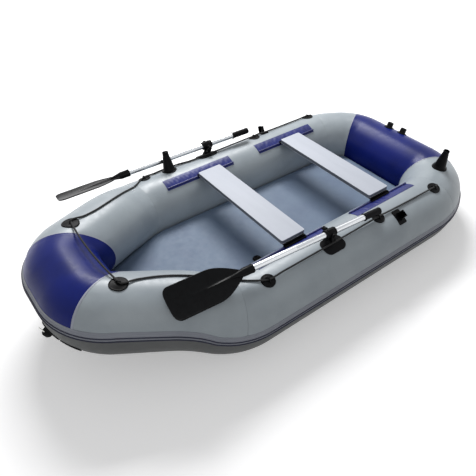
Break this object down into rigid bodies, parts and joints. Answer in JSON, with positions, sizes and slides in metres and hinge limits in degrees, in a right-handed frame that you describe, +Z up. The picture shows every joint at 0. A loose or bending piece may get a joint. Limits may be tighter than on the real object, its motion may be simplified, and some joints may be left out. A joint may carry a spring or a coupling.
{
  "type": "inflatable boat",
  "caption": "Inflatable rowing boat with fabric tubes and air floor, sliding bench seats, stowed oars in swivel locks, grab line, rod holders, oar clips and towing ring",
  "frame": {"origin": "on the flat bottom, at mid-length between the tubes and on the centreline", "axes": "+X to the bow along the longest extent, +Y to port, +Z up"},
  "size_m": [2.5366, 1.3422, 0.4865],
  "materials": {
    "grey_fabric": "light grey coated tube fabric, satin",
    "navy_fabric": "navy coated tube fabric, glossy",
    "bottom_fabric": "grey bottom fabric, satin",
    "strake_rubber": "extruded strake with two dark beads",
    "floor_fabric": "slate grey floor fabric, matt",
    "track_fabric": "royal blue flap with a bead, glossy",
    "seat_board": "pale grey coated board",
    "black_plastic": "black moulded plastic",
    "black_rubber": "black moulded rubber",
    "oar_tube": "polished aluminium tube",
    "black_rope": "braided black rope",
    "steel": "polished stainless steel"
  },
  "bodies": {
    "hull": {"stern_tube": "navy_fabric", "bow_tube": "navy_fabric", "port_stern_corner_tube": "grey_fabric", "port_side_tube": "grey_fabric", "port_bow_quarter_tube": "grey_fabric", "starboard_stern_corner_tube": "grey_fabric", "starboard_side_tube": "grey_fabric", "starboard_bow_quarter_tube": "grey_fabric", "rub_strake": "strake_rubber", "bottom_wear_band": "bottom_fabric", "bottom_panel": "bottom_fabric", "air_floor": "floor_fabric", "port_fore_seat_track": "track_fabric", "port_aft_seat_track": "track_fabric", "starboard_fore_seat_track": "track_fabric", "starboard_aft_seat_track": "track_fabric", "port_bow_eyelet": "black_plastic", "port_fore_eyelet": "black_plastic", "port_aft_eyelet": "black_plastic", "port_end_eyelet": "black_plastic", "starboard_bow_eyelet": "black_plastic", "starboard_fore_eyelet": "black_plastic", "starboard_aft_eyelet": "black_plastic", "starboard_end_eyelet": "black_plastic", "grab_line": "black_rope", "port_oarlock_socket": "black_rubber", "port_rod_holder": "black_plastic", "port_oar_clip": "black_plastic", "port_motor_socket": "black_plastic", "starboard_oarlock_socket": "black_rubber", "starboard_rod_holder": "black_plastic", "starboard_oar_clip": "black_plastic", "starboard_motor_socket": "black_plastic", "tow_ring_foot": "black_rubber", "bow_wear_patch": "black_rubber", "floor_valve": "black_plastic", "hull_valve": "black_plastic"},
    "fore_seat": {"fore_seat_board": "seat_board", "port_fore_seat_clip": "black_plastic", "starboard_fore_seat_clip": "black_plastic"},
    "aft_seat": {"aft_seat_board": "seat_board", "port_aft_seat_clip": "black_plastic", "starboard_aft_seat_clip": "black_plastic"},
    "port_lock": {"port_oarlock_yoke": "black_plastic"},
    "port_oar": {"port_oarlock_ring": "black_plastic", "port_oar_grip": "black_rubber", "port_oar_upper_shaft": "oar_tube", "port_oar_lower_shaft": "oar_tube", "port_oar_blade": "black_plastic"},
    "port_button": {"port_oar_button": "steel"},
    "starboard_lock": {"starboard_oarlock_yoke": "black_plastic"},
    "starboard_oar": {"starboard_oarlock_ring": "black_plastic", "starboard_oar_grip": "black_rubber", "starboard_oar_upper_shaft": "oar_tube", "starboard_oar_lower_shaft": "oar_tube", "starboard_oar_blade": "black_plastic"},
    "starboard_button": {"starboard_oar_button": "steel"},
    "tow_ring": {"tow_ring": "steel"},
    "floor_cap": {"floor_valve_cap": "black_plastic"},
    "hull_cap": {"hull_valve_cap": "black_plastic"}
  },
  "joints": [
    {"name": "fore_seat_slide", "type": "slide", "parent": "hull", "child": "fore_seat", "axis": [1, 0, 0], "range_m": [-0.1, 0.19]},
    {"name": "aft_seat_slide", "type": "slide", "parent": "hull", "child": "aft_seat", "axis": [1, 0, 0], "range_m": [-0.14, 0.155]},
    {"name": "port_lock_swivel", "type": "hinge", "parent": "hull", "child": "port_lock", "pos_m": [-0.02, 0.481, 0.37], "axis": [0, 0, 1], "range_deg": [0, 110]},
    {"name": "starboard_lock_swivel", "type": "hinge", "parent": "hull", "child": "starboard_lock", "pos_m": [-0.008, -0.543, 0.363], "axis": [0, 0, -1], "range_deg": [0, 110]},
    {"name": "port_oar_tilt", "type": "hinge", "parent": "port_lock", "child": "port_oar", "pos_m": [-0.02, 0.481, 0.402], "axis": [0.045, 0.999, 0], "range_deg": [0, 0.8]},
    {"name": "starboard_oar_tilt", "type": "hinge", "parent": "starboard_lock", "child": "starboard_oar", "pos_m": [-0.008, -0.543, 0.395], "axis": [0.0886, 0.9961, 0], "range_deg": [-3, 1.6]},
    {"name": "port_button_press", "type": "slide", "parent": "port_oar", "child": "port_button", "axis": [0.0369, -0.0017, -0.9993], "range_m": [0, 0.0038], "stiffness_N_per_m": 600, "springref_m": -0.002},
    {"name": "starboard_button_press", "type": "slide", "parent": "starboard_oar", "child": "starboard_button", "axis": [-0.0446, 0.004, -0.999], "range_m": [0, 0.0038], "stiffness_N_per_m": 600, "springref_m": -0.002},
    {"name": "tow_ring_swing", "type": "hinge", "parent": "hull", "child": "tow_ring", "pos_m": [1.2561, 0.10423, 0.24036], "axis": [0.3546, 0.0539, 0.9335], "range_deg": [0, 140]},
    {"name": "floor_cap_turn", "type": "hinge", "parent": "hull", "child": "floor_cap", "pos_m": [0.2, 0.215, 0.158], "axis": [0, 0, 1], "range_deg": [0, 90]},
    {"name": "hull_cap_turn", "type": "hinge", "parent": "hull", "child": "hull_cap", "pos_m": [-0.62, 0.32669, 0.28295], "axis": [0, -0.7934, 0.6088], "range_deg": [0, 90]}
  ]
}
